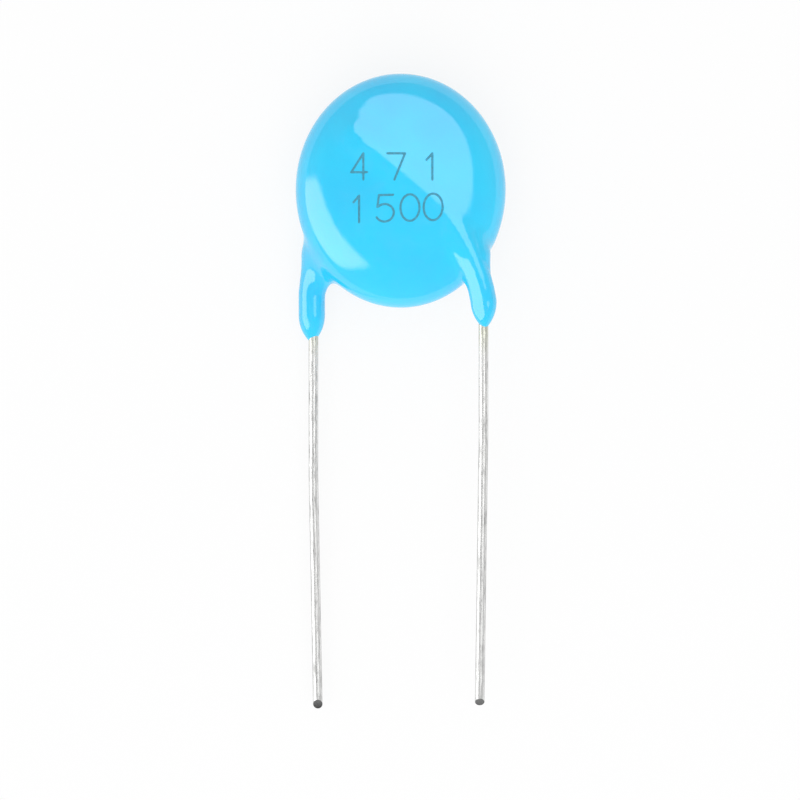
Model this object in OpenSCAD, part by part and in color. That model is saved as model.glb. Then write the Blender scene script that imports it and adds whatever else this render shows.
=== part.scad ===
// Ceramic disc capacitor: a silvered ceramic disc with a wire soldered across each face,
// dipped in glossy resin that runs a little way down both leads.
// It lies on its back. +Z points out of the front face, +Y to the top of the disc, and the
// leads run to -Y. The origin is on the flat of the back, under the centre of the disc.

/* [Ceramic and electrodes] */
// Diameter of the ceramic disc
ceramic_dia = 12.4; // [11.4:0.1:13]
// Thickness of the ceramic disc
ceramic_thick = 4; // [3:0.1:5]
// Bevel along both edges of the ceramic disc
ceramic_bevel = 0.35; // [0.2:0.05:0.6]
// Thickness of each silver electrode
electrode_thick = 0.05; // [0.03:0.01:0.12]
// Bare ceramic left around each electrode
electrode_margin = 0.6; // [0.4:0.1:1.5]

/* [Leads] */
// Diameter of the lead wire
wire_dia = 0.7; // [0.5:0.05:0.8]
// Spacing of the leads where they leave the coating
lead_pitch = 12.55; // [12:0.05:13]
// Distance of the pair of leads to the right of the disc's centre line
lead_shift = -0.18; // [-0.4:0.02:0.4]
// Distance of each straight lead from the middle plane, one in front and one behind
lead_depth = 1.7; // [1.4:0.1:2]
// Direction of the wire across the face, measured from the width of the disc
face_angle = 41; // [38:1:48]
// Distance of that wire from the centre of the face, away from the leads
face_shift = 0.85; // [0:0.05:1]
// Length of the wire past the centre of the face
wire_overrun = 4.2; // [2:0.1:5]
// Distance of the right lead's turn below the centre of the disc
right_turn_drop = 6.1; // [5.6:0.1:6.6]
// Distance of the left lead's turn below the centre of the disc
left_turn_drop = 5.7; // [5.4:0.1:6.2]
// Bend radius of the wire at its turn
turn_radius = 1.2; // [0.8:0.1:1.6]
// Length of the right lead below the lower edge of the disc
right_lead_len = 29.3; // [15:0.1:40]
// Length of the left lead below the lower edge of the disc
left_lead_len = 29.65; // [15:0.1:40]
// Length of the right lead below the disc that stays straight before it leans in
right_straight = 9.3; // [6:0.1:14]
// Length of the left lead below the disc that stays straight before it leans in
left_straight = 12.4; // [6:0.1:14]
// Lean of the right lead's end towards the other lead
right_lean = 0.8; // [0:0.1:2]
// Lean of the left lead's end towards the other lead
left_lean = 1.1; // [0:0.1:2]
// Slant of the right lead's cut end
right_cut = 36; // [0:1:50]
// Slant of the left lead's cut end
left_cut = 44; // [0:1:50]

/* [Solder] */
// Width of the solder fillet along each wire
solder_width = 1.9; // [1.4:0.1:2.4]
// Height of the solder fillet above the electrode
solder_height = 0.5; // [0.3:0.05:0.6]
// Solder between the wire and the electrode
solder_film = 0.03; // [0.02:0.01:0.1]

/* [Coating of the disc] */
// Coating past the ceramic at both sides
coat_side = 1.56; // [1.3:0.02:2.4]
// Coating past the ceramic at the top
coat_top = 2.36; // [1.3:0.02:3]
// Coating past the ceramic at the bottom, where the resin sagged
coat_bottom = 2.53; // [1.5:0.02:3]
// Coating over each face of the ceramic
coat_face = 1.6; // [1.3:0.05:2.2]
// Fullness of the rim: 2 is an ellipse, more is squarer
rim_fullness = 2.4; // [2.2:0.05:3]
// Depth of the small flat on the back
flat_depth = 0.15; // [0.1:0.01:0.2]
// Bond line between the coating and what it covers
bond = 0.02; // [0.01:0.01:0.05]

/* [Coating of the leads] */
// Coating over the wire on the face
ridge_coat = 0.45; // [0.4:0.05:0.8]
// Softness of the ridge over the wire on the face
ridge_softness = 1.5; // [0.8:0.05:1.8]
// Radius of the right leg
right_leg_radius = 0.97; // [0.85:0.01:1.15]
// Radius of the left leg
left_leg_radius = 0.98; // [0.85:0.01:1.15]
// Reach of the right leg below the lower edge of the disc
right_leg_reach = 1.25; // [0.8:0.05:3]
// Reach of the left leg below the lower edge of the disc
left_leg_reach = 2.35; // [0.8:0.05:3]
// Half angle of the right leg's pointed end
right_leg_taper = 38; // [25:1:45]
// Half angle of the left leg's pointed end
left_leg_taper = 44; // [35:1:50]
// Softness of the meniscus between the disc and the right leg
right_meniscus = 1.2; // [0.8:0.05:2]
// Softness of the meniscus between the disc and the left leg
left_meniscus = 1.9; // [0.8:0.05:2]

/* [Hidden] */
$fn = 64;

resin_blue = "deepskyblue";
ceramic_grey = "tan";
silver_white = "gainsboro";
tin_grey = "silver";

ceramic_r = ceramic_dia / 2;
electrode_r = ceramic_r - electrode_margin;
wire_r = wire_dia / 2;
face_z = ceramic_thick / 2 + electrode_thick;
wire_z = face_z + solder_film + wire_r;
half_thick = ceramic_thick / 2 + coat_face;
side_r = ceramic_r + coat_side;
top_r = ceramic_r + coat_top;
bottom_r = ceramic_r + coat_bottom;
middle_z = half_thick - flat_depth;

// A lead is described from its own side, as if it were the right and front one. The left
// and rear one is the same thing turned half a turn about Y.
// [x of the straight lead, turn below the centre, end of the straight stretch, lean, end of
//  the lead, slant of the cut, +1 if the cut faces the front of its own side, -1 the back]
right = [lead_pitch / 2 + lead_shift, right_turn_drop, bottom_r + right_straight, right_lean,
         bottom_r + right_lead_len, right_cut, 1];
left = [lead_pitch / 2 - lead_shift, left_turn_drop, bottom_r + left_straight, left_lean,
        bottom_r + left_lead_len, left_cut, -1];

face_way = [cos(face_angle), -sin(face_angle), 0];
face_side = [sin(face_angle), cos(face_angle), 0];
face_middle = [0, 0, wire_z] + face_shift * face_side;
// The wire leaves the face a little inside the edge of the ceramic
knee_inset = 0.3;
wire_head = face_middle - wire_overrun * face_way;
wire_knee = face_middle + (ceramic_r - knee_inset) * face_way;
function lead_route(s) = let (end = s[4] + wire_dia) [
    wire_head,
    wire_knee,
    [s[0], -s[1], lead_depth],
    [s[0], -s[2], lead_depth],
    [s[0] - (end - s[2]) * tan(s[3]), -end, lead_depth]
];
bend_radii = [1, turn_radius, 12];
bend_thinning = 0.003;
bend_tuck = 0.04;

// Legs of resin: [shoulder, leg's start, tip, radius there, radius at the tip, taper,
// roundness of the taper, meniscus], each a little off the wire's own line. The tips hang
// further out than the wires, so the resin ends on a slant.
shoulder_drop = 5;
tip_out = 0.12;
right_leg = [[right[0] - 0.5, -shoulder_drop, lead_depth + 0.2],
             [right[0], -bottom_r + 0.5, lead_depth],
             [right[0] + 0.08, -bottom_r - right_leg_reach, lead_depth + tip_out],
             right_leg_radius, wire_r, right_leg_taper, 0.6, right_meniscus];
left_leg = [[left[0] - 0.25, -shoulder_drop, lead_depth + 0.2],
            [left[0] + 0.12, -bottom_r + 1.1, lead_depth],
            [left[0] + 0.12, -bottom_r - left_leg_reach, lead_depth + tip_out],
            left_leg_radius, wire_r - 0.06, left_leg_taper, 0.8, left_meniscus];
ridge_r = wire_r + ridge_coat;

function unit(v) = v / norm(v);
function soft_min(a, b, k) = let (h = max(k - abs(a - b), 0)) min(a, b) - h * h / (4 * k);
function soft_max(a, b, k) = -soft_min(-a, -b, k);
function half_turn(p) = [-p.x, p.y, -p.z];

// Signed distances to the coating's own forms: less than 0 is inside
function disc_gap(p) = let (
        n = rim_fullness,
        b = p.y > 0 ? top_r : bottom_r,
        rho = norm([p.x / side_r, p.y / b]),
        zeta = abs(p.z) / half_thick,
        g = pow(pow(rho, n) + pow(zeta, n), 1 / n),
        slope = pow(g, 1 - n) * norm([
            pow(rho, n - 2) * p.x / (side_r * side_r),
            pow(rho, n - 2) * p.y / (b * b),
            pow(zeta, n - 1) / half_thick]))
    (g - 1) / slope;
function run_gap(p, a, b, ra, rb) = let (
        ab = b - a,
        t = min(max((p - a) * ab / (ab * ab), 0), 1))
    norm(p - a - t * ab) - ra - (rb - ra) * t;
function tip_gap(p, leg) = let (
        up = leg[1] - leg[2],
        long = norm(up),
        h = (p - leg[2]) * up / long,
        q = norm(p - leg[2] - min(h, long) * up / long))
    soft_max(q - leg[3], (q - leg[4] - h * tan(leg[5])) * cos(leg[5]), leg[6]);
function leg_gap(p, leg) = min(
    run_gap(p, wire_head, wire_knee, ridge_r, ridge_r),
    run_gap(p, wire_knee, leg[0], ridge_r, leg[3]),
    run_gap(p, leg[0], leg[1], leg[3], leg[3]),
    tip_gap(p, leg));
// The blend with the disc changes from the ridge's to the meniscus's on the way to the leg
function softness(p, leg) = ridge_softness + (leg[7] - ridge_softness)
    * min(max((-p.y - ceramic_r / 2) / (shoulder_drop - ceramic_r / 2), 0), 1);
function skin_gap(p) = soft_min(
    soft_min(disc_gap(p), leg_gap(p, right_leg), softness(p, right_leg)),
    leg_gap(half_turn(p), left_leg), softness(p, left_leg));

// Where a ray from m along d, between lo and hi times d, leaves the skin
halvings = 15;
function leave(m, d, lo, hi, n = halvings) = let (t = (lo + hi) / 2)
    n <= 0 ? t : skin_gap(m + t * d) < 0 ? leave(m, d, t, hi, n - 1) : leave(m, d, lo, t, n - 1);

// The skin is lofted from upright half sections. They fan out from a spine that runs from
// the disc's centre to each leg's root and on down the leg, and each aims outwards.
arc_step = 5;
fan_steps = 9;
root_steps = 12;
leg_steps = 12;
tip_steps = 10;
outer_angle = -30;
inner_angle = -62;
function leg_root(leg) = let (t = 0.45) leg[0] + t * (leg[1] - leg[0]);
function leg_foot(leg) = leg[2] + 0.85 * unit(leg[1] - leg[2]);
function oval(angle, k) = k * [side_r * cos(angle), (sin(angle) > 0 ? top_r : bottom_r) * sin(angle), 0];
// Spine points of one leg, from the one after the centre to its foot, closer together where
// the rim falls away behind the leg
function spine(leg) = [
    for (i = [1:root_steps]) leg_root(leg) * sin(90 * i / root_steps),
    for (i = [1:leg_steps]) leg_root(leg) + (leg_foot(leg) - leg_root(leg)) * i / leg_steps];
aim_out = 1.8;
aim_in = 1.5;
// Sections of one leg as [spine index, aim], from its outer side round its tip to its inner side
function leg_sections(leg) = let (
        line = spine(leg),
        foot = line[root_steps + leg_steps - 1],
        root = line[root_steps - 1],
        outer = oval(outer_angle, 1.25),
        inner = oval(inner_angle, 1.12),
        notch = [root.x - aim_in, -bottom_r + 1.2, root.z])
    [
        for (i = [1:root_steps]) let (u = i / root_steps)
            [i, outer + (root + [aim_out, 0, 0] - outer) * u],
        for (i = [1:leg_steps]) [root_steps + i, line[root_steps + i - 1] + [aim_out, 0, 0]],
        for (i = [1:tip_steps - 1]) let (a = 180 * i / tip_steps)
            [root_steps + leg_steps, foot + aim_out * [cos(a), -sin(a), 0]],
        for (i = [leg_steps:-1:1]) let (v = i / leg_steps, at = line[root_steps + i - 1])
            [root_steps + i, [at.x - aim_in, notch.y + (foot.y - notch.y) * v, at.z]],
        for (i = [root_steps:-1:1]) let (u = i / root_steps)
            [i, inner + (notch - inner) * u]
    ];
function turned(sections, shift) =
    [for (s = sections) [s[0] + shift, half_turn(s[1])]];
function reversed(list) = [for (i = [len(list) - 1:-1:0]) list[i]];

module coating_skin() {
    spine_len = root_steps + leg_steps;
    spine_points = [[0, 0, 0], each spine(right_leg), for (p = spine(left_leg)) half_turn(p)];
    // Clockwise, as seen from the front: down the right leg and back, along the bottom, down
    // the left leg and back, and over the top
    sections = [
        each leg_sections(right_leg),
        for (a = [inner_angle:-(180 + 2 * inner_angle) / 8:-180 - inner_angle]) [0, oval(a, 1.2)],
        each reversed(turned(leg_sections(left_leg), spine_len)),
        for (a = [180 - outer_angle:-arc_step:outer_angle]) [0, oval(a, 1.2)]
    ];
    count = len(sections);
    steps = 2 * fan_steps;
    tall = 2 * half_thick;
    above = [for (m = spine_points) leave(m, [0, 0, 1], 0, tall)];
    below = [for (m = spine_points) leave(m, [0, 0, -1], 0, tall)];
    spine_count = len(spine_points);
    function section(s) = let (
            k = s[0],
            m = spine_points[k],
            aim = [s[1].x - m.x, s[1].y - m.y, 0],
            wide = leave(m, aim, 0, 1) * aim)
        [for (j = [1:steps - 1]) let (
                phi = 180 * j / steps,
                d = wide * sin(phi) + [0, 0, (phi < 90 ? above[k] : below[k]) * cos(phi)])
            m + leave(m, d, 0.4, 1.8) * d];
    points = [
        for (k = [0:spine_count - 1]) spine_points[k] + [0, 0, above[k]],
        for (k = [0:spine_count - 1]) spine_points[k] - [0, 0, below[k]],
        for (s = sections) each section(s)
    ];
    function corner(i, j) = let (row = i % count)
        j == 0 ? sections[row][0]
        : j == steps ? spine_count + sections[row][0]
        : 2 * spine_count + row * (steps - 1) + j - 1;
    faces = [
        for (i = [0:count - 1], j = [0:steps - 1]) let (
                a = corner(i, j), b = corner(i, j + 1), c = corner(i + 1, j + 1), d = corner(i + 1, j))
            each [if (b != c) [a, b, c], if (a != d) [a, c, d]]
    ];
    polyhedron(points, faces);
}

function plumb(w) = let (
        x = unit(cross(abs(w.z) < 0.9 ? [0, 0, 1] : [1, 0, 0], w)),
        y = cross(w, x))
    [x, y, w];
module place(x, y, z, at) {
    multmatrix([[x.x, y.x, z.x, at.x], [x.y, y.y, z.y, at.y], [x.z, y.z, z.z, at.z], [0, 0, 0, 1]])
        children();
}

// Round wire along a route. The bend at each inner corner is drawn a hair thinner than the
// straight stretches, and its ends reach a little way into them.
module wire(route, r) {
    last = len(route) - 1;
    way = [for (i = [0:last - 1]) unit(route[i + 1] - route[i])];
    turn = [for (i = [1:last - 1]) acos(min(way[i - 1] * way[i], 1))];
    trim = [0, for (i = [1:last - 1]) bend_radii[i - 1] * tan(turn[i - 1] / 2), 0];
    for (i = [0:last - 1]) {
        axes = plumb(way[i]);
        place(axes[0], axes[1], axes[2], route[i] + trim[i] * way[i])
            cylinder(r = r, h = norm(route[i + 1] - route[i]) - trim[i] - trim[i + 1]);
    }
    for (i = [1:last - 1]) if (turn[i - 1] > 0.01) {
        radius = bend_radii[i - 1];
        inward = unit(way[i] - (way[i - 1] * way[i]) * way[i - 1]);
        tuck = bend_tuck / radius * 180 / PI;
        place(-inward, way[i - 1], cross(way[i - 1], inward),
              route[i] - trim[i] * way[i - 1] + radius * inward)
            rotate([0, 0, -tuck]) rotate_extrude(angle = turn[i - 1] + 2 * tuck)
                translate([radius, 0]) circle(r - bend_thinning);
    }
}

// One lead on its own side, sheared off on the slant at its end
module lead(s) {
    difference() {
        wire(lead_route(s), wire_r);
        block = 4 * wire_dia;
        translate([s[0] - (s[4] - s[2]) * tan(s[3]), -s[4] + wire_r * tan(s[5]), lead_depth])
            rotate([-s[6] * s[5], 0, 0])
                translate([-block / 2, -block, -block / 2]) cube(block);
    }
}

// Solder fillet along the wire, flat on the electrode and round at both ends
module solder_bead(grow = 0) {
    w = solder_width / 2 + grow;
    h = solder_height + grow;
    bulge = (w * w + h * h) / (2 * h);
    reach = min(wire_overrun, electrode_r - solder_width);
    translate([0, 0, face_z]) rotate([0, 0, -face_angle]) intersection() {
        translate([-reach, face_shift, h - bulge]) {
            rotate([0, 90, 0]) cylinder(r = bulge, h = 2 * reach);
            for (end = [0, 2 * reach]) translate([end, 0, 0]) sphere(bulge);
        }
        translate([-electrode_r, face_shift - 2 * w, 0]) cube([2 * electrode_r, 4 * w, 2 * h]);
    }
}

module ceramic(grow = 0) {
    r = ceramic_r + grow;
    h = ceramic_thick / 2 + grow;
    rotate_extrude()
        polygon([[0, -h], [r - ceramic_bevel, -h], [r, ceramic_bevel - h], [r, h - ceramic_bevel],
                 [r - ceramic_bevel, h], [0, h]]);
}

module electrode(grow = 0) {
    translate([0, 0, ceramic_thick / 2]) cylinder(r = electrode_r + grow, h = electrode_thick + grow);
}

module raised() { translate([0, 0, middle_z]) children(); }
module other_side() { rotate([0, 180, 0]) children(); }

// The dipped skin, with the back's flat and the room for everything inside it
module coating() {
    color(resin_blue) raised() difference() {
        coating_skin();
        below = 4 * top_r;
        translate([-below / 2, -below / 2, -middle_z - below]) cube(below);
        ceramic(bond);
        electrode(bond);
        other_side() electrode(bond);
        solder_bead(bond);
        other_side() solder_bead(bond);
        wire(lead_route(right), wire_r + bond);
        other_side() wire(lead_route(left), wire_r + bond);
    }
}
module ceramic_disc() { color(ceramic_grey) raised() ceramic(); }
module front_electrode() { color(silver_white) raised() electrode(); }
module rear_electrode() { color(silver_white) raised() other_side() electrode(); }
module front_solder() {
    color(tin_grey) raised() difference() {
        solder_bead();
        wire(lead_route(right), wire_r + bond / 2);
    }
}
module rear_solder() {
    color(tin_grey) raised() other_side() difference() {
        solder_bead();
        wire(lead_route(left), wire_r + bond / 2);
    }
}
module right_lead() { color(tin_grey) raised() lead(right); }
module left_lead() { color(tin_grey) raised() other_side() lead(left); }

coating();
ceramic_disc();
front_electrode();
rear_electrode();
front_solder();
rear_solder();
left_lead();
right_lead();
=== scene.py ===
"""Looks of a dipped ceramic disc capacitor, built around its packed CAD frame."""

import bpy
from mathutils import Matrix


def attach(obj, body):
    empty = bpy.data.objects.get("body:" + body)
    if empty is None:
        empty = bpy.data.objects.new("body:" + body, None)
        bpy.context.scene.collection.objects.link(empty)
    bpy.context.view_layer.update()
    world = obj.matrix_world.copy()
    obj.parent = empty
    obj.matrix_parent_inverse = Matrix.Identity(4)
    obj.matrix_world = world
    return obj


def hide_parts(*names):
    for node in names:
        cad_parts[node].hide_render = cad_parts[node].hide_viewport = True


bl_info = {
    "name": "Ceramic disc capacitor",
    "version": (1, 0, 0),
    "blender": (4, 5, 0),
    "location": "3D View > Sidebar > Capacitor",
    "description": "Builds the dipped body, the leads, the print and the studio of a disc capacitor",
    "category": "Object",
}

from collections import namedtuple
from math import cos, pi, radians, sin, tan

import bmesh
import bpy
import numpy as np
from bpy.props import (
    FloatProperty,
    FloatVectorProperty,
    IntProperty,
    PointerProperty,
    StringProperty,
)
from mathutils import Matrix, Vector

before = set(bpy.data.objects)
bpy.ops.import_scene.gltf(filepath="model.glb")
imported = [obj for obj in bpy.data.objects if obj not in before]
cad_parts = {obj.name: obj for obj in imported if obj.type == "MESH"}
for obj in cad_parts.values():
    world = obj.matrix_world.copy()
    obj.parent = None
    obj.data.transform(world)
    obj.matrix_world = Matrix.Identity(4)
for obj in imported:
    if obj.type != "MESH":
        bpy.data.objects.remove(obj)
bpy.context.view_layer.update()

MM = 0.001
UP = Vector((0, 0, 1))


# ---------------------------------------------------------------- settings


def length(name, description, default, **more):
    """A size in millimetres here, and in metres for the user."""
    return FloatProperty(
        name=name, description=description, default=default * MM, unit="LENGTH",
        precision=5, **more)


def number(name, description, default, **more):
    return FloatProperty(name=name, description=description, default=default, **more)


def colour(name, description, default):
    return FloatVectorProperty(
        name=name, description=description, default=default, subtype="COLOR", size=3,
        min=0, max=1)


class CoatingSettings(bpy.types.PropertyGroup):
    """Sizes and colours of the dipped resin"""

    side: length("Half width", "From the centre of the disc to its side", 7.76)
    top: length("Top", "From the centre of the disc to its top", 8.56)
    bottom: length("Bottom", "From the centre of the disc to its lower edge", 8.73)
    half_thick: length("Half thickness", "From the middle plane to each face", 3.6)
    middle: length("Middle plane", "Height of the middle plane over the back's flat", 3.45)
    fullness: number("Rim fullness", "2 is an ellipse, more is squarer", 2.4, min=2, max=3)
    ridge: length("Ridge", "Radius of the resin over the wire on the front face", 0.62)
    back_ridge: length("Back ridge", "Radius of the resin over the wire on the back face", 0.8)
    grain: length("Grain", "Size of the cells the skin is made from", 0.12)
    blue: colour("Resin", "Colour of the resin", (0.02, 0.64, 0.97))
    thin: colour("Thin resin", "Colour where the resin is thinner", (0.025, 0.585, 0.94))


class LeadSettings(bpy.types.PropertyGroup):
    """Sizes and colours of the tinned wire"""

    radius: length("Radius", "Radius of the wire", 0.35)
    angle: number(
        "Angle across the face", "Direction of the wire from the disc's width", radians(41),
        subtype="ANGLE")
    shift: length("Shift", "Distance of the wire from the centre of the face", 0.85)
    overrun: length("Overrun", "Wire past the centre of the face", 4.2)
    knee: length("Knee", "Centre of the face to where the wire leaves it", 5.9)
    on_face: length("Height on the face", "Wire's centre over the middle plane", 2.43)
    depth: length("Depth", "Straight lead's distance from the middle plane", 1.7)
    sides: IntProperty(name="Sides", description="Sides of the round wire", default=48, min=24)
    tin: colour("Tin", "Colour of the tinned surface", (0.86, 0.86, 0.85))
    dull: colour("Dull tin", "Colour of the dull patches and drawing marks", (0.38, 0.38, 0.375))
    # The cut ends are near black: painted shade laid over the bare metal's colour.
    core: colour("Core", "Colour of the metal at the cut ends", (0.035, 0.035, 0.035))


class MarkingSettings(bpy.types.PropertyGroup):
    """Print on the front face"""

    upper: StringProperty(
        name="Upper row", description="Three digits, out of 0, 1, 4, 5 and 7", default="471")
    lower: StringProperty(
        name="Lower row", description="Four digits, out of 0, 1, 4, 5 and 7", default="1500")
    stroke: length("Stroke", "Width of the printed lines", 0.17)
    film: length("Film", "Thickness of the ink", 0.012)
    ink: colour("Ink", "Colour of the ink", (0.025, 0.25, 0.36))


class StudioSettings(bpy.types.PropertyGroup):
    """Floor, lights and camera"""

    view_width: length("View width", "Width of what the camera sees", 59.04)
    view_x: length("View centre across", "Centre of the view, to the right", -0.05)
    view_y: length("View centre up", "Centre of the view, towards the top", -15.53)
    distance: FloatProperty(
        name="Distance", description="Camera's height over the disc", default=0.7, unit="LENGTH")
    key: number("Key light", "Radiance of the large softbox, where 1 is white", 1.4)
    side: number("Side light", "Radiance of the left softbox, where 1 is white", 2.2)
    overhead: number("Overhead light", "Radiance of the soft light on matt surfaces", 1.3)
    fill: number("Fill", "Light from all round on matt surfaces, where 1 is white", 0.8)


# ---------------------------------------------------------------- form of the skin
# Signed distances to the resin for arrays of points, less than 0 inside. Everything here is
# in millimetres, and heights are from the disc's middle plane. The forms are those of the CAD
# coating, with a smoother bend and two drained flats on the right leg.


def soft_min(a, b, k):
    """The smaller of two distances, blended where they are less than k apart."""
    h = np.maximum(k - np.abs(a - b), 0)
    return np.minimum(a, b) - h * h / (4 * k)


def soft_max(a, b, k):
    return -soft_min(-a, -b, k)


def half_turn(p):
    """Points turned half round about Y, from one face of the disc to the other."""
    return p * (-1, 1, -1)


def pointing(azimuth, zenith):
    """Direction at an angle from the zenith, both in degrees."""
    across = sin(radians(zenith))
    return Vector((across * cos(radians(azimuth)), across * sin(radians(azimuth)),
                   cos(radians(zenith))))


def wire_on_face(lead):
    """Both ends of the stretch of wire that is soldered across a face."""
    along = Vector((cos(lead.angle), -sin(lead.angle), 0))
    across = Vector((sin(lead.angle), cos(lead.angle), 0))
    middle = Vector((0, 0, lead.on_face / MM)) + lead.shift / MM * across
    return middle - lead.overrun / MM * along, middle + lead.knee / MM * along


class Leg:
    """The resin over one wire, as seen from the wire's own side of the disc.

    line: centres and radii from the head of the ridge to the start of the leg
    foot, tip_radius, taper, roundness: the tip, which tapers from there onto the wire
    softness: of the blend with the disc, at each of the places in SOFTNESS_AT
    flats: where resin drained, each as azimuth, tilt, and shares of the radius at the start
    of the bend and at the leg
    under: centres and radii of more resin inside the bend, over the wire's own corner
    """

    # Distances from the disc's centre towards the legs
    SOFTNESS_AT = (-3, 1.5, 3.1, 5)
    # The flats start at this rod of the line
    FIRST_DRAINED = 2

    def __init__(self, line, foot, tip_radius, taper, roundness, softness, flats=(), under=()):
        self.line = [(np.array(centre), radius) for *centre, radius in line]
        self.under = [(np.array(centre), radius) for *centre, radius in under]
        self.start, self.radius = self.line[-1]
        self.foot, self.tip_radius = np.array(foot), tip_radius
        self.taper, self.roundness = radians(taper), roundness
        self.softness, self.flats = softness, flats

    def flats_on(self, rod):
        """Directions of the flats on one rod of the line, and their shares at its ends."""
        done, steps = rod - self.FIRST_DRAINED, len(self.line) - 1 - self.FIRST_DRAINED
        if done < 0:
            return []
        return [
            (np.array(pointing(azimuth, tilt)),
             *(at_bend + (at_leg - at_bend) * j / steps for j in (done, done + 1)))
            for azimuth, tilt, at_bend, at_leg in self.flats]


def smooth_bend(corners, steps=12):
    """Centres and radii along a curve that starts at the first corner, ends at the last and
    is drawn towards the two between."""
    t = np.linspace(0, 1, steps + 1)[:, None]
    a, b, c, d = (np.array(corner) for corner in corners)
    return (1 - t) ** 3 * a + 3 * t * (1 - t) ** 2 * b + 3 * t * t * (1 - t) * c + t**3 * d


class Skin:
    """The outer surface of the dipped resin."""

    # Blend at the edges of the drained flats
    FLAT_ROUNDING = 0.12
    # The right ridge fades out over this length past the end of the wire, and sinks this far
    FADE_LENGTH, FADE_DROP, FADE_RADIUS = 0.8, 0.13, 0.5
    # Where the right ridge starts to bend, from the wire's end, and its radius there
    BEND_START, BEND_RADIUS = 7.2, 0.4
    # The bend sets out this far along the wire, at this height and radius
    SETS_OUT, SETS_OUT_HEIGHT, SETS_OUT_RADIUS = 1.4, 2.3, 0.5
    # Least values that the distances and steps are divided by
    LEAST_REACH, LEAST_SLOPE, LEAST_STEEPNESS = 0.2, 1e-3, 0.05
    # The front is looked for up to this height over the face
    OVER_FACE = 2
    HALVINGS = 30

    def __init__(self, coating, lead):
        self.side, self.top, self.bottom = coating.side / MM, coating.top / MM, coating.bottom / MM
        self.thick, self.n = coating.half_thick / MM, coating.fullness
        self.middle = coating.middle / MM
        head, knee = wire_on_face(lead)
        along = (knee - head).normalized()
        fade = head - self.FADE_LENGTH * along - Vector((0, 0, self.FADE_DROP))
        leaves = head + self.BEND_START * along
        sets_out = leaves.xy + self.SETS_OUT * along.xy
        bend = smooth_bend((
            (*leaves, self.BEND_RADIUS),
            (*sets_out, self.SETS_OUT_HEIGHT, self.SETS_OUT_RADIUS),
            (5.5, -4.8, 2.5, 1.05), (6.095, -8.23, 1.8, 0.97)))
        self.right = Leg(
            [(*fade, self.FADE_RADIUS), (*head, coating.ridge / MM), *bend],
            foot=(6.175, -9.98, 1.82), tip_radius=0.35, taper=38, roundness=0.6,
            softness=(1.7, 0.9, 1.0, 1.2), flats=((200, 27, 1.0, 0.825), (3, 14, 1.05, 0.93)),
            under=((5.2, -3.9, 1.9, 0.7), (5.595, -5, 1.9, 0.95), (5.9, -6.9, 1.7, 0.78)))
        back = coating.back_ridge / MM
        self.left = Leg(
            [(*head, back), (*knee, back), (6.205, -5, 1.5, 1.05), (6.575, -7.63, 1.7, 0.98)],
            foot=(6.575, -11.08, 1.82), tip_radius=0.29, taper=44, roundness=0.8,
            softness=(1.5, 1.5, 1.7, 1.8))

    def disc(self, p):
        n, b = self.n, np.where(p[:, 1] > 0, self.top, self.bottom)
        x, y, z = p[:, 0], p[:, 1], p[:, 2]
        rho = np.hypot(x / self.side, y / b)
        zeta = np.abs(z) / self.thick
        g = np.maximum((rho**n + zeta**n) ** (1 / n), self.LEAST_REACH)
        slope = g ** (1 - n) * np.sqrt(
            (rho ** (n - 2) * x / self.side**2) ** 2
            + (rho ** (n - 2) * y / b**2) ** 2
            + (zeta ** (n - 1) / self.thick) ** 2)
        return (g - 1) / np.maximum(slope, self.LEAST_SLOPE)

    def run(self, p, a, b, ra, rb, flats=()):
        """A rod between two centres. Each flat has a direction and a share of the radius at
        each end."""
        way = (b - a) / np.linalg.norm(b - a)
        t = np.clip((p - a) @ way / np.linalg.norm(b - a), 0, 1)
        out = p - a - t[:, None] * (b - a)
        r = ra + (rb - ra) * t
        gap = np.linalg.norm(out, axis=1) - r
        for facing, share_a, share_b in flats:
            facing = facing - (facing @ way) * way
            facing /= np.linalg.norm(facing)
            share = share_a + (share_b - share_a) * t
            gap = soft_max(gap, out @ facing - share * r, self.FLAT_ROUNDING)
        return gap

    def tip(self, p, leg):
        """The end of a leg, a rod that is cut by a cone and by the flats."""
        long = np.linalg.norm(leg.start - leg.foot)
        up = (leg.start - leg.foot) / long
        h = (p - leg.foot) @ up
        q = np.linalg.norm(p - leg.foot - np.minimum(h, long)[:, None] * up, axis=1)
        cone = (q - leg.tip_radius - h * tan(leg.taper)) * cos(leg.taper)
        gap = soft_max(q - leg.radius, cone, leg.roundness)
        for azimuth, tilt, _, share in leg.flats:
            drained = (p - leg.start) @ np.array(pointing(azimuth, tilt)) - share * leg.radius
            gap = soft_max(gap, drained, self.FLAT_ROUNDING)
        return gap

    def leg(self, p, leg):
        gap = self.tip(p, leg)
        for rod, ((a, ra), (b, rb)) in enumerate(zip(leg.line, leg.line[1:])):
            gap = np.minimum(gap, self.run(p, a, b, ra, rb, leg.flats_on(rod)))
        for (a, ra), (b, rb) in zip(leg.under, leg.under[1:]):
            gap = np.minimum(gap, self.run(p, a, b, ra, rb))
        return gap

    def with_leg(self, body, p, leg):
        softness = np.interp(-p[:, 1], leg.SOFTNESS_AT, leg.softness)
        return soft_min(body, self.leg(p, leg), softness)

    def gap(self, p):
        """Distance from the skin."""
        body = self.with_leg(self.disc(p), p, self.right)
        return self.with_leg(body, half_turn(p), self.left)

    def slope(self, p, gap):
        """How the distance changes along each axis."""
        step = 1e-3
        return np.stack([(self.gap(p + step * axis) - gap) / step for axis in np.eye(3)], axis=1)

    def wrap(self, p, rounds=6):
        """Moves points square to the skin until they lie on it."""
        for _ in range(rounds):
            gap = self.gap(p)
            slope = self.slope(p, gap)
            steepness = np.maximum((slope**2).sum(1), self.LEAST_STEEPNESS)
            p = p - (gap / steepness)[:, None] * slope
        return p

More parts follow.
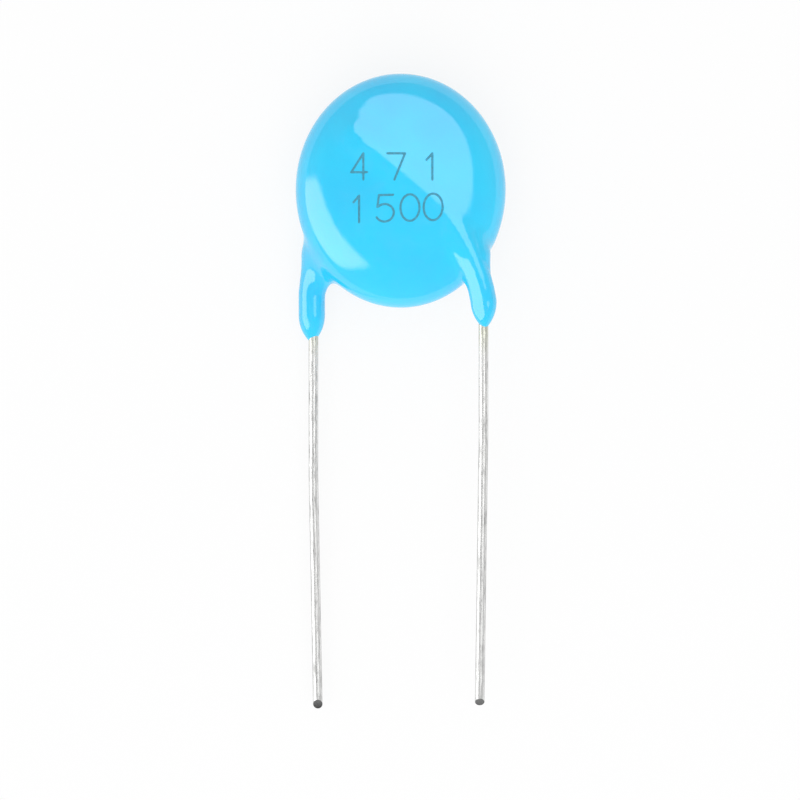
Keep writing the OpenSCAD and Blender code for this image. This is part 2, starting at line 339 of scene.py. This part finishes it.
    def front(self, xy):
        """Heights and unit normals of the front of the skin over points of the plane."""
        low, high = np.zeros(len(xy)), np.full(len(xy), self.thick + self.OVER_FACE)
        for _ in range(self.HALVINGS):
            z = (low + high) / 2
            inside = self.gap(np.column_stack([xy, z])) < 0
            low, high = np.where(inside, z, low), np.where(inside, high, z)
        p = np.column_stack([xy, low])
        normal = self.slope(p, self.gap(p))
        return low, normal / np.linalg.norm(normal, axis=1)[:, None]


# ---------------------------------------------------------------- helpers


def vertices(mesh):
    co = np.empty(len(mesh.vertices) * 3, np.float32)
    mesh.vertices.foreach_get("co", co)
    return co.reshape(-1, 3).astype(float)


def set_vertices(mesh, points):
    mesh.vertices.foreach_set("co", np.asarray(points, np.float32).ravel())
    mesh.update()


def new_object(name, bm, smooth=True):
    """A finished piece from a bmesh, with its object at the origin."""
    mesh = bpy.data.meshes.new(name)
    bm.to_mesh(mesh)
    bm.free()
    mesh.polygons.foreach_set("use_smooth", [smooth] * len(mesh.polygons))
    piece = bpy.data.objects.new(name, mesh)
    bpy.context.scene.collection.objects.link(piece)
    return piece


def apply_remesh(piece, cell):
    """Fuses a piece's overlapping forms into one closed skin of even cells."""
    remesh = piece.modifiers.new("Fuse", "REMESH")
    remesh.mode = "VOXEL"
    remesh.voxel_size = cell
    remesh.use_smooth_shade = True
    fused = bpy.data.meshes.new_from_object(
        piece.evaluated_get(bpy.context.evaluated_depsgraph_get()))
    piece.modifiers.clear()
    old, piece.data = piece.data, fused
    bpy.data.meshes.remove(old)
    piece.data.name = piece.name


def way_to(direction):
    """Turn that takes +Z to a direction."""
    return UP.rotation_difference(Vector(direction)).to_matrix().to_4x4()


def add_rod(bm, a, b, ra, rb, sides=24):
    a, b = Vector(a), Vector(b)
    bmesh.ops.create_cone(
        bm, cap_ends=True, segments=sides, radius1=ra, radius2=rb, depth=(b - a).length,
        matrix=Matrix.Translation((a + b) / 2) @ way_to(b - a))


def add_ball(bm, at, r, detail=3, squash=(1, 1, 1)):
    bmesh.ops.create_icosphere(
        bm, subdivisions=detail, radius=r,
        matrix=Matrix.Translation(at) @ Matrix.Diagonal((*squash, 1)))


# ---------------------------------------------------------------- node helpers


class Nodes:
    """A node tree and short ways to add to it."""

    def __init__(self, tree, coordinates="Object"):
        self.tree = tree
        self.place = self.add("ShaderNodeTexCoord").outputs[coordinates]

    def add(self, kind, **settings):
        node = self.tree.nodes.new(kind)
        for key, value in settings.items():
            setattr(node, key, value)
        return node

    def link(self, out, socket):
        self.tree.links.new(out, socket)

    def axes(self):
        """The place's X, Y and Z."""
        split = self.add("ShaderNodeSeparateXYZ")
        self.link(self.place, split.inputs["Vector"])
        return split.outputs

    def spread(self, value, low, high, to_low=0.0, to_high=1.0, way="LINEAR"):
        """Maps a value from one range to another, clamped."""
        node = self.add("ShaderNodeMapRange", interpolation_type=way)
        node.inputs["From Min"].default_value = low
        node.inputs["From Max"].default_value = high
        node.inputs["To Min"].default_value = to_low
        node.inputs["To Max"].default_value = to_high
        self.link(value, node.inputs["Value"])
        return node.outputs["Result"]

    def math(self, operation, *values):
        node = self.add("ShaderNodeMath", operation=operation)
        for socket, value in zip(node.inputs, values):
            if isinstance(value, (int, float)):
                socket.default_value = value
            else:
                self.link(value, socket)
        return node.outputs["Value"]


class Finish(Nodes):
    """A procedural material and the nodes that feed its Principled shader."""

    def __init__(self, name, base, **sockets):
        self.material = bpy.data.materials.new(name)
        self.material.use_nodes = True
        super().__init__(self.material.node_tree)
        self.shader = self.tree.nodes["Principled BSDF"]
        self.shader.inputs["Base Color"].default_value = (*base, 1)
        for socket, value in sockets.items():
            self.shader.inputs[socket.replace("_", " ")].default_value = value
        self.bumped = None

    def stretched(self, scale, turn=(0, 0, 0)):
        """Object coordinates in millimetres, squeezed along each axis."""
        mapping = self.add("ShaderNodeMapping")
        mapping.inputs["Scale"].default_value = [s / MM for s in scale]
        mapping.inputs["Rotation"].default_value = turn
        self.link(self.place, mapping.inputs["Vector"])
        return mapping.outputs["Vector"]

    def noise(self, scale, detail=3, rough=0.5, distortion=0.0, turn=(0, 0, 0)):
        node = self.add("ShaderNodeTexNoise")
        node.inputs["Scale"].default_value = 1
        node.inputs["Detail"].default_value = detail
        node.inputs["Roughness"].default_value = rough
        node.inputs["Distortion"].default_value = distortion
        self.link(self.stretched(scale, turn), node.inputs["Vector"])
        return node.outputs["Fac"]

    def cells(self, scale):
        node = self.add("ShaderNodeTexVoronoi")
        node.inputs["Scale"].default_value = 1
        self.link(self.stretched(scale), node.inputs["Vector"])
        return node.outputs["Distance"]

    def blend(self, factor, a, b, mode="MIX"):
        """Mixes two colours, each a triple or another node's output."""
        # The node's sockets for colours have the numbers 6 and 7, and its result 2
        node = self.add("ShaderNodeMix", data_type="RGBA", blend_type=mode)
        self.link(factor, node.inputs[0])
        for socket, value in ((node.inputs[6], a), (node.inputs[7], b)):
            if isinstance(value, bpy.types.NodeSocket):
                self.link(value, socket)
            else:
                socket.default_value = (*value, 1)
        return node.outputs[2]

    def along(self, axis, low, high):
        """0 to 1 between two places along one axis, in millimetres."""
        return self.spread(self.axes()[axis], low * MM, high * MM)

    def feed(self, socket, value):
        self.link(value, self.shader.inputs[socket])

    def bump(self, height, strength, depth):
        """Adds a layer of relief, depth in millimetres."""
        node = self.add("ShaderNodeBump")
        node.inputs["Strength"].default_value = strength
        node.inputs["Distance"].default_value = depth * MM
        self.link(height, node.inputs["Height"])
        if self.bumped:
            self.link(self.bumped, node.inputs["Normal"])
        self.bumped = node.outputs["Normal"]
        self.feed("Normal", self.bumped)


def dress(piece, *materials):
    slots = piece.data.materials
    while len(slots) < len(materials):
        slots.append(None)
    for i, material in enumerate(materials):
        slots[i] = material


# ---------------------------------------------------------------- materials


def glossy_resin(s):
    f = Finish("Glossy blue resin", s.blue, Roughness=0.1, IOR=1.85,
               Specular_Tint=(1, 0.82, 0.92, 1))
    cloud = f.noise((0.22, 0.22, 0.22), detail=4, distortion=0.4)
    pigment = f.noise((9, 9, 9), detail=2)
    tone = f.math("ADD", f.math("MULTIPLY", cloud, 0.75), f.math("MULTIPLY", pigment, 0.25))
    f.feed("Base Color", f.blend(f.spread(tone, 0.4, 0.65), s.blue, s.thin))
    f.feed("Roughness", f.spread(f.noise((1.4, 1.4, 1.4), detail=3), 0.35, 0.7, 0.06, 0.14))
    f.bump(f.noise((0.55, 0.55, 0.55), detail=2), 0.5, 0.02)
    f.bump(f.noise((5, 5, 5), detail=2), 0.25, 0.003)
    return f.material


def printed_ink(s):
    f = Finish("Printed ink", s.ink, Roughness=0.45)
    patch = f.noise((5, 5, 5), detail=5, rough=0.7)
    # Resin shows through where the ink is thin
    through, resin = 0.35, (0.02, 0.55, 0.95)
    paler = tuple((1 - through) * c + through * b for c, b in zip(s.ink, resin))
    f.feed("Base Color", f.blend(f.spread(patch, 0.45, 0.68), s.ink, paler))
    f.feed("Roughness", f.spread(patch, 0.3, 0.7, 0.35, 0.6))
    f.bump(f.noise((14, 14, 14), detail=3), 0.4, 0.004)
    return f.material


def tinned(s):
    f = Finish("Tinned wire", s.tin, Metallic=0.7, Roughness=0.3, Specular_Tint=(0.35, 0.35, 0.35, 1))
    drawn = f.noise((9, 0.25, 9), detail=4, rough=0.6)
    mottle = f.noise((2.2, 0.9, 2.2), detail=5, rough=0.65)
    streaks = f.noise((11, 0.6, 11), detail=6, rough=0.75)
    wear = f.math("ADD", f.math("MULTIPLY", streaks, 0.7), f.math("MULTIPLY", mottle, 0.3))
    tin = f.blend(f.spread(wear, 0.48, 0.62), s.tin, s.dull)
    # Flux yellows the wire just below the resin
    flux = f.spread(f.along("Y", -12.4, -10.6), 0, 1, 0, 0.55)
    f.feed("Base Color", f.blend(flux, tin, (0.88, 0.90, 0.70), "MULTIPLY"))
    f.feed("Roughness", f.spread(mottle, 0.3, 0.7, 0.24, 0.38))
    f.bump(drawn, 0.5, 0.015)
    f.bump(f.noise((3, 0.6, 3), detail=3), 0.4, 0.03)
    return f.material


def cut_metal(s):
    # The cut faces' near-black base colour is painted shade.
    f = Finish("Cut wire end", s.core, Metallic=0.5, Roughness=0.55)
    shear = f.noise((14, 2, 14), detail=4, rough=0.7, turn=(0, 0, 0.4))
    # Each cut face is painted lighter towards its upper edge, a painted highlight, mixed with its
    # shear marks.
    highlight_gain = 5
    highlit_cut_end = tuple(min(1, highlight_gain * c) for c in s.core)
    upper = f.math("MULTIPLY_ADD", f.along("Y", -38.4, -37.7), 0.5, shear)
    f.feed("Base Color", f.blend(f.spread(upper, 0.5, 1.0), s.core, highlit_cut_end))
    f.feed("Roughness", f.spread(shear, 0.3, 0.7, 0.4, 0.65))
    f.bump(shear, 0.6, 0.02)
    return f.material


def fired_ceramic():
    f = Finish("Fired ceramic", (0.45, 0.36, 0.24), Roughness=0.6)
    pale, brown = (0.50, 0.40, 0.27), (0.38, 0.29, 0.19)
    grain = f.noise((6, 6, 6), detail=4)
    f.feed("Base Color", f.blend(f.spread(grain, 0.35, 0.65), pale, brown))
    f.feed("Roughness", f.spread(f.cells((4, 4, 4)), 0, 0.6, 0.5, 0.72))
    f.bump(f.cells((8, 8, 8)), 0.3, 0.01)
    return f.material


def fired_silver():
    f = Finish("Fired silver", (0.82, 0.80, 0.76), Metallic=1.0, Roughness=0.4)
    bright, dull = (0.86, 0.84, 0.80), (0.66, 0.63, 0.58)
    patches = f.noise((7, 7, 7), detail=5, rough=0.7)
    f.feed("Base Color", f.blend(f.spread(patches, 0.3, 0.7), bright, dull))
    f.feed("Roughness", f.spread(patches, 0.3, 0.7, 0.34, 0.52))
    f.bump(f.cells((10, 10, 10)), 0.35, 0.006)
    return f.material


def set_solder():
    f = Finish("Set solder", (0.66, 0.67, 0.68), Metallic=1.0, Roughness=0.28)
    bright, dull = (0.72, 0.73, 0.74), (0.50, 0.51, 0.53)
    crystals = f.cells((3.5, 3.5, 3.5))
    f.feed("Base Color", f.blend(f.spread(crystals, 0.1, 0.8), bright, dull))
    f.feed("Roughness", f.spread(f.noise((3, 3, 3), detail=4), 0.3, 0.7, 0.2, 0.38))
    f.bump(crystals, 0.3, 0.02)
    return f.material


# ---------------------------------------------------------------- pieces


class CAP_OT_coating(bpy.types.Operator):
    """Build the dipped resin over the disc and the tops of both leads"""

    bl_idname = "capacitor.coating"
    bl_label = "Coating"

    # Blend between the skin and the flat that it rests on
    REST_ROUNDING = 0.02

    def execute(self, context):
        s, lead = context.scene.cap_coating, context.scene.cap_lead
        skin = Skin(s, lead)
        # Rough forms are fused into one skin, which is then moved onto the true surface
        bm = bmesh.new()
        height = (skin.top + skin.bottom) / 2
        add_ball(bm, (0, (skin.top - skin.bottom) / 2, 0), 1, detail=5,
                 squash=(skin.side, height, skin.thick))
        for leg, turn in ((skin.right, (1, 1, 1)), (skin.left, (-1, 1, -1))):
            line = [(turn * centre, radius) for centre, radius in leg.line]
            line.append((turn * leg.foot, leg.tip_radius))
            for (a, ra), (b, rb) in zip(line, line[1:]):
                add_rod(bm, a, b, ra, rb)
                add_ball(bm, a, ra)
        piece = new_object("dipped_coating", bm)
        cell = s.grain / MM
        apply_remesh(piece, 2 * cell)
        set_vertices(piece.data, skin.wrap(vertices(piece.data)))
        apply_remesh(piece, cell)
        p = skin.wrap(vertices(piece.data))
        p[:, 2] = soft_max(p[:, 2] + skin.middle, 0, self.REST_ROUNDING)
        set_vertices(piece.data, p * MM)
        dress(piece, glossy_resin(s))
        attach(piece, "root")
        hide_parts("coating")
        return {"FINISHED"}


# The straight part of a lead, on the lead's own side of the disc: its place across, where it
# turns into the leg, where it starts to lean and by how many degrees, its end, and the slant
# of the cut
Pin = namedtuple("Pin", "x turn_y lean_y lean end_y slant")
RIGHT_PIN = Pin(x=6.095, turn_y=-6.1, lean_y=-18.03, lean=0.8, end_y=-38.03, slant=36)
LEFT_PIN = Pin(x=6.455, turn_y=-5.7, lean_y=-21.13, lean=1.1, end_y=-38.38, slant=44)

# Radii of a lead's bends: off the face, into the leg, and into its lean
BEND_RADII = (1, 1.2, 12)
# Length of a straight step and angle of a bent one
STRAIGHT_STEP, BENT_STEP = 2, radians(7)
# Width of the bevel round a cut end
CUT_BEVEL = 0.035


def lead_route(lead, pin):
    """Corners of a lead. It runs past its end by two radii, where it is cut off later."""
    depth = lead.depth / MM
    over = pin.end_y - 2 * lead.radius / MM
    return [
        *wire_on_face(lead),
        Vector((pin.x, pin.turn_y, depth)),
        Vector((pin.x, pin.lean_y, depth)),
        Vector((pin.x - (pin.lean_y - over) * tan(radians(pin.lean)), over, depth)),
    ]


def stations(route):
    """Points along a route with its corners rounded, and the direction at each."""
    ways = [(b - a).normalized() for a, b in zip(route, route[1:])]
    points, last = [route[0]], route[0]
    for i, radius in enumerate(BEND_RADII):
        before, after, corner = ways[i], ways[i + 1], route[i + 1]
        turn = before.angle(after)
        trim = radius * tan(turn / 2)
        start = corner - trim * before
        inward = (after - before.dot(after) * before).normalized()
        centre = start + radius * inward
        straight = max(1, round((start - last).length / STRAIGHT_STEP))
        points += [last.lerp(start, j / straight) for j in range(1, straight + 1)]
        steps = max(3, round(turn / BENT_STEP))
        for j in range(1, steps + 1):
            a = turn * j / steps
            points.append(centre + radius * (sin(a) * before - cos(a) * inward))
        last = points[-1]
    straight = round((route[-1] - last).length / STRAIGHT_STEP)
    points += [last.lerp(route[-1], j / straight) for j in range(1, straight + 1)]
    ends = [points[0] - ways[0]] + points + [points[-1] + ways[-1]]
    return points, [(b - a).normalized() for a, b in zip(ends, ends[2:])]


def build_lead(name, node, pin, turned, finishes):
    """Extrudes a round wire along its route and cuts its end at a slant. The left lead is
    made on the front face and turned half round."""
    scene = bpy.context.scene
    s, middle = scene.cap_lead, scene.cap_coating.middle / MM
    r = s.radius / MM
    points, ways = stations(lead_route(s, pin))
    bm = bmesh.new()
    bmesh.ops.create_circle(
        bm, cap_ends=True, segments=s.sides, radius=r,
        matrix=Matrix.Translation(points[0]) @ way_to(ways[0]))
    rim = list(bm.edges)
    for i in range(1, len(points)):
        grown = bmesh.ops.extrude_edge_only(bm, edges=rim)["geom"]
        ring = [g for g in grown if isinstance(g, bmesh.types.BMVert)]
        rim = [g for g in grown if isinstance(g, bmesh.types.BMEdge) and set(g.verts) <= set(ring)]
        swing = ways[i - 1].rotation_difference(ways[i]).to_matrix()
        bmesh.ops.rotate(bm, cent=points[i - 1], matrix=swing, verts=ring)
        bmesh.ops.translate(bm, vec=points[i] - points[i - 1], verts=ring)
    slant = radians(pin.slant)
    facing = -1 if turned else 1
    sliced = bmesh.ops.bisect_plane(
        bm, geom=list(bm.verts) + list(bm.edges) + list(bm.faces), dist=1e-6,
        plane_co=(points[-1].x, pin.end_y + r * tan(slant), s.depth / MM),
        plane_no=(0, -cos(slant), facing * sin(slant)), clear_outer=True)["geom_cut"]
    edge = [g for g in sliced if isinstance(g, bmesh.types.BMEdge)]
    for face in bmesh.ops.holes_fill(bm, edges=edge, sides=0)["faces"]:
        face.material_index = 1
    bmesh.ops.bevel(
        bm, geom=[e for e in edge if e.is_valid], offset=CUT_BEVEL, offset_type="OFFSET",
        segments=3, profile=0.5, affect="EDGES", material=-1)
    bmesh.ops.recalc_face_normals(bm, faces=bm.faces)
    if turned:
        bmesh.ops.rotate(bm, cent=(0, 0, 0), matrix=Matrix.Rotation(pi, 3, "Y"), verts=bm.verts)
    bmesh.ops.translate(bm, vec=(0, 0, middle), verts=bm.verts)
    bmesh.ops.scale(bm, vec=(MM, MM, MM), verts=bm.verts)
    piece = new_object(name, bm)
    piece.data.polygons.foreach_set(
        "use_smooth", [polygon.material_index == 0 for polygon in piece.data.polygons])
    dress(piece, *finishes)
    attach(piece, "root")
    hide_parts(node)


class CAP_OT_leads(bpy.types.Operator):
    """Build both tinned leads along their routes, each with its cut end"""

    bl_idname = "capacitor.leads"
    bl_label = "Leads"

    def execute(self, context):
        s = context.scene.cap_lead
        finishes = tinned(s), cut_metal(s)
        build_lead("right_tinned_lead", "right_lead", RIGHT_PIN, False, finishes)
        build_lead("left_tinned_lead", "left_lead", LEFT_PIN, True, finishes)
        return {"FINISHED"}


# Strokes of each digit in a box 1 wide and 1 high: runs of points, among them an arc as
# centre, radii, first angle and last angle
DIGITS = {
    "0": [[("arc", (0.5, 0.5), (0.5, 0.5), 0, 360)]],
    "1": [[(0.28, 0.76), (0.62, 1.0), (0.62, 0.0)]],
    "4": [[(0.78, 0.0), (0.78, 1.0), (0.04, 0.28), (1.0, 0.28)]],
    "5": [[(0.92, 1.0), (0.18, 1.0), (0.10, 0.56),
           ("arc", (0.48, 0.33), (0.48, 0.33), 130, -150)]],
    "7": [[(0.02, 1.0), (0.98, 1.0), (0.40, 0.0)]],
}
ARC_STEPS = 24


def stroke_points(stroke):
    """Points along a stroke, with its arcs in even steps."""
    points = []
    for item in stroke:
        if item[0] == "arc":
            _, centre, radii, first, last = item
            for j in range(ARC_STEPS + 1):
                a = radians(first + (last - first) * j / ARC_STEPS)
                points.append((centre[0] + radii[0] * cos(a), centre[1] + radii[1] * sin(a)))
        else:
            points.append(item)
    return points


class CAP_OT_marking(bpy.types.Operator):
    """Print two rows of digits on the front face"""

    bl_idname = "capacitor.marking"
    bl_label = "Marking"

    # Left edge and width of each digit, in millimetres
    UPPER = ((-3.68, 1.2), (-1.0, 1.35), (1.55, 1.25))
    LOWER = ((-3.8, 1.2), (-1.85, 1.4), (-0.02, 1.4), (1.68, 1.4))
    # The boxes of each row, its baseline at the left, its height and its rise
    ROWS = ((UPPER, 0.66, 1.92, 0.0), (LOWER, -2.5, 1.95, radians(1.6)))
    # Size of the cells that the strokes are fused from
    CELL = 0.028
    # How steeply the ink rises at the sides of a stroke
    STEEPNESS = 1.5

    def execute(self, context):
        s = context.scene.cap_marking
        skin = Skin(context.scene.cap_coating, context.scene.cap_lead)
        half = s.stroke / MM / 2
        bm = bmesh.new()
        for text, (boxes, base, tall, rise) in zip((s.upper, s.lower), self.ROWS):
            for digit, (left, wide) in zip(text, boxes):
                foot = base + (left - boxes[0][0]) * tan(rise)
                for stroke in DIGITS[digit]:
                    line = [
                        Vector((left + wide * u, foot + tall * v + wide * u * tan(rise), 0))
                        for u, v in stroke_points(stroke)]
                    for p in line:
                        add_ball(bm, p, half)
                    for a, b in zip(line, line[1:]):
                        if (b - a).length > 1e-4:
                            add_rod(bm, a, b, half, half, sides=16)
        piece = new_object("printed_marking", bm)
        apply_remesh(piece, self.CELL)
        # The strokes are laid on the skin, half sunk into it
        p = vertices(piece.data)
        height, normal = skin.front(p[:, :2])
        lift = np.tanh(self.STEEPNESS * p[:, 2] / half) * s.film / MM
        place = np.column_stack([p[:, :2], height + skin.middle]) + lift[:, None] * normal
        set_vertices(piece.data, place * MM)
        dress(piece, printed_ink(s))
        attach(piece, "root")
        return {"FINISHED"}


class CAP_OT_inner(bpy.types.Operator):
    """Finish the ceramic, the silver and the solder inside the coating"""

    bl_idname = "capacitor.inner"
    bl_label = "Inner pieces"

    def execute(self, context):
        finishes = {
            ("ceramic_disc",): fired_ceramic(),
            ("front_electrode", "rear_electrode"): fired_silver(),
            ("front_solder", "rear_solder"): set_solder(),
        }
        for names, material in finishes.items():
            for name in names:
                dress(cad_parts[name], material)
        return {"FINISHED"}


# ---------------------------------------------------------------- studio


# Where the softboxes point, and how far from there they hang
TARGET, SOFTBOX_DISTANCE = Vector((0, 0, 0.004)), 0.6


def softbox(name, azimuth, zenith, wide, tall, radiance, roll=0, gloss=True, **face):
    """A light that shines at the disc from a direction, its size and roll in degrees. It
    lights either glossy surfaces or matt ones."""
    data = bpy.data.lights.new(name, "AREA")
    data.shape = "RECTANGLE"
    half = SOFTBOX_DISTANCE * Vector((tan(radians(wide) / 2), tan(radians(tall) / 2)))
    if face:
        half = shape_face(data, half, **face)
    data.size, data.size_y = 2 * half
    data.energy = radiance * pi * data.size * data.size_y
    lamp = bpy.data.objects.new(name, data)
    bpy.context.scene.collection.objects.link(lamp)
    out = pointing(azimuth, zenith)
    # The light's own Y points away from the zenith before it is rolled
    away = -out.cross(UP).cross(out).normalized()
    across = away.cross(out)
    turn = Matrix((across, away, out)).transposed().to_4x4()
    lamp.matrix_world = (
        Matrix.Translation(TARGET + SOFTBOX_DISTANCE * out)
        @ turn @ Matrix.Rotation(radians(roll), 4, "Z"))
    lamp.visible_camera = False
    lamp.visible_glossy, lamp.visible_diffuse = gloss, not gloss


def shape_face(data, half, lean, corners, fade):
    """Gives a softbox leaning sides, round corners and a fading edge. Returns half the size
    of the rectangle that holds it."""
    data.use_nodes = True
    nodes = Nodes(data.node_tree)
    axes = nodes.axes()
    powers = []
    for i in (0, 1):
        upright = nodes.math("MULTIPLY", axes[i], 1 / half[i])
        place = nodes.math("MULTIPLY_ADD", axes[1 - i], -lean[i] / half[i], upright)
        powers.append(nodes.math("POWER", nodes.math("ABSOLUTE", place), corners))
    reach = nodes.math("POWER", nodes.math("ADD", *powers), 1 / corners)
    edge = nodes.spread(reach, 1 - fade, 1, 1, 0, way="SMOOTHSTEP")
    nodes.link(edge, nodes.tree.nodes["Emission"].inputs["Strength"])
    stretch = 1 - abs(lean[0] * lean[1])
    wide, tall = half
    return Vector((wide + abs(lean[0]) * tall, tall + abs(lean[1]) * wide)) / stretch


class CAP_OT_studio(bpy.types.Operator):
    """Lay the pale floor, hang the softboxes and aim the camera"""

    bl_idname = "capacitor.studio"
    bl_label = "Studio"

    FLOOR_HALF, FLOOR_COLOUR, FLOOR_SHADE = 1.5, (0.86, 0.86, 0.86), (0.84, 0.84, 0.84)
    # Share of white that the camera sees in the floor. The rest keeps the object's shadow.
    FLOOR_WHITE = 0.85
    # What glossy surfaces see of the walls and of the ceiling, where 1 is white, and the
    # heights on a sphere of 1 that it changes between
    WALLS, CEILING = 0.52, 0.3
    WALLS_HEIGHT, CEILING_HEIGHT = 0.1, 0.9

    def execute(self, context):
        s = context.scene.cap_studio
        self.floor()
        self.surround(s.fill)
        softbox(
            "key_softbox", azimuth=70, zenith=30, wide=75, tall=59, radiance=s.key, roll=-4,
            lean=(-0.6, 0), corners=4, fade=0.18)
        softbox(
            "side_softbox", azimuth=200, zenith=64, wide=56, tall=50, radiance=s.side,
            lean=(0.15, 0.48), corners=6, fade=0.22)
        softbox(
            "overhead_softbox", azimuth=260, zenith=32, wide=60, tall=60, radiance=s.overhead,
            gloss=False)
        self.camera(s)
        context.scene.view_settings.view_transform = "Standard"
        return {"FINISHED"}

    def floor(self):
        bm = bmesh.new()
        bmesh.ops.create_grid(bm, x_segments=8, y_segments=8, size=self.FLOOR_HALF)
        floor = new_object("floor", bm, smooth=False)
        f = Finish("Pale floor", self.FLOOR_COLOUR, Roughness=0.9)
        cloud = f.noise((0.05, 0.05, 0.05))
        f.feed("Base Color", f.blend(cloud, self.FLOOR_COLOUR, self.FLOOR_SHADE))
        white = f.add("ShaderNodeEmission")
        white.inputs["Strength"].default_value = 1
        mix = f.add("ShaderNodeMixShader")
        path = f.add("ShaderNodeLightPath")
        seen = f.math("MULTIPLY", path.outputs["Is Camera Ray"], self.FLOOR_WHITE)
        f.link(f.math("MAXIMUM", seen, path.outputs["Is Glossy Ray"]), mix.inputs["Fac"])
        f.link(f.shader.outputs["BSDF"], mix.inputs[1])
        f.link(white.outputs["Emission"], mix.inputs[2])
        f.link(mix.outputs["Shader"], f.tree.nodes["Material Output"].inputs["Surface"])
        dress(floor, f.material)

    def surround(self, fill):
        world = bpy.data.worlds.new("Pale studio")
        bpy.context.scene.world = world
        world.use_nodes = True
        nodes = Nodes(world.node_tree, "Generated")
        # Mirrors see a duller ceiling over the object and paler walls
        seen = nodes.spread(
            nodes.axes()["Z"], self.WALLS_HEIGHT, self.CEILING_HEIGHT, self.WALLS, self.CEILING,
            way="SMOOTHSTEP")
        path = nodes.add("ShaderNodeLightPath")
        rays = (("Is Diffuse Ray", fill), ("Is Transmission Ray", 1.0), ("Is Camera Ray", 1.0))
        for ray, strength in rays:
            # The node's sockets for numbers are 2 and 3, and its result 0
            pick = nodes.add("ShaderNodeMix")
            nodes.link(path.outputs[ray], pick.inputs[0])
            nodes.link(seen, pick.inputs[2])
            pick.inputs[3].default_value = strength
            seen = pick.outputs[0]
        back = nodes.tree.nodes["Background"]
        back.inputs["Color"].default_value = (1, 1, 1, 1)
        nodes.link(seen, back.inputs["Strength"])

    def camera(self, s):
        data = bpy.data.cameras.new("camera")
        data.lens = data.sensor_width * s.distance / s.view_width
        data.clip_end = 10
        camera = bpy.data.objects.new("camera", data)
        middle = bpy.context.scene.cap_coating.middle
        camera.location = (s.view_x, s.view_y, s.distance + middle)
        bpy.context.scene.collection.objects.link(camera)
        bpy.context.scene.camera = camera


# ---------------------------------------------------------------- add-on


SETTINGS = {
    "cap_coating": CoatingSettings,
    "cap_lead": LeadSettings,
    "cap_marking": MarkingSettings,
    "cap_studio": StudioSettings,
}
OPERATORS = (CAP_OT_coating, CAP_OT_leads, CAP_OT_marking, CAP_OT_inner, CAP_OT_studio)


class CAP_PT_panel(bpy.types.Panel):
    """Lists the capacitor's pieces and the studio"""

    bl_idname = "CAP_PT_panel"
    bl_label = "Ceramic disc capacitor"
    bl_space_type = "VIEW_3D"
    bl_region_type = "UI"
    bl_category = "Capacitor"

    def draw(self, context):
        for name, group in SETTINGS.items():
            box = self.layout.box()
            box.label(text=group.__doc__)
            for prop in group.__annotations__:
                box.prop(getattr(context.scene, name), prop)
        for operator in OPERATORS:
            self.layout.operator(operator.bl_idname)


def register():
    for cls in (*SETTINGS.values(), *OPERATORS, CAP_PT_panel):
        bpy.utils.register_class(cls)
    for name, group in SETTINGS.items():
        setattr(bpy.types.Scene, name, PointerProperty(type=group))


def unregister():
    for name in SETTINGS:
        delattr(bpy.types.Scene, name)
    for cls in reversed((*SETTINGS.values(), *OPERATORS, CAP_PT_panel)):
        bpy.utils.unregister_class(cls)


def main():
    register()
    bpy.ops.capacitor.coating()
    bpy.ops.capacitor.leads()
    bpy.ops.capacitor.marking()
    bpy.ops.capacitor.inner()
    bpy.ops.capacitor.studio()


if __name__ == "__main__":
    main()
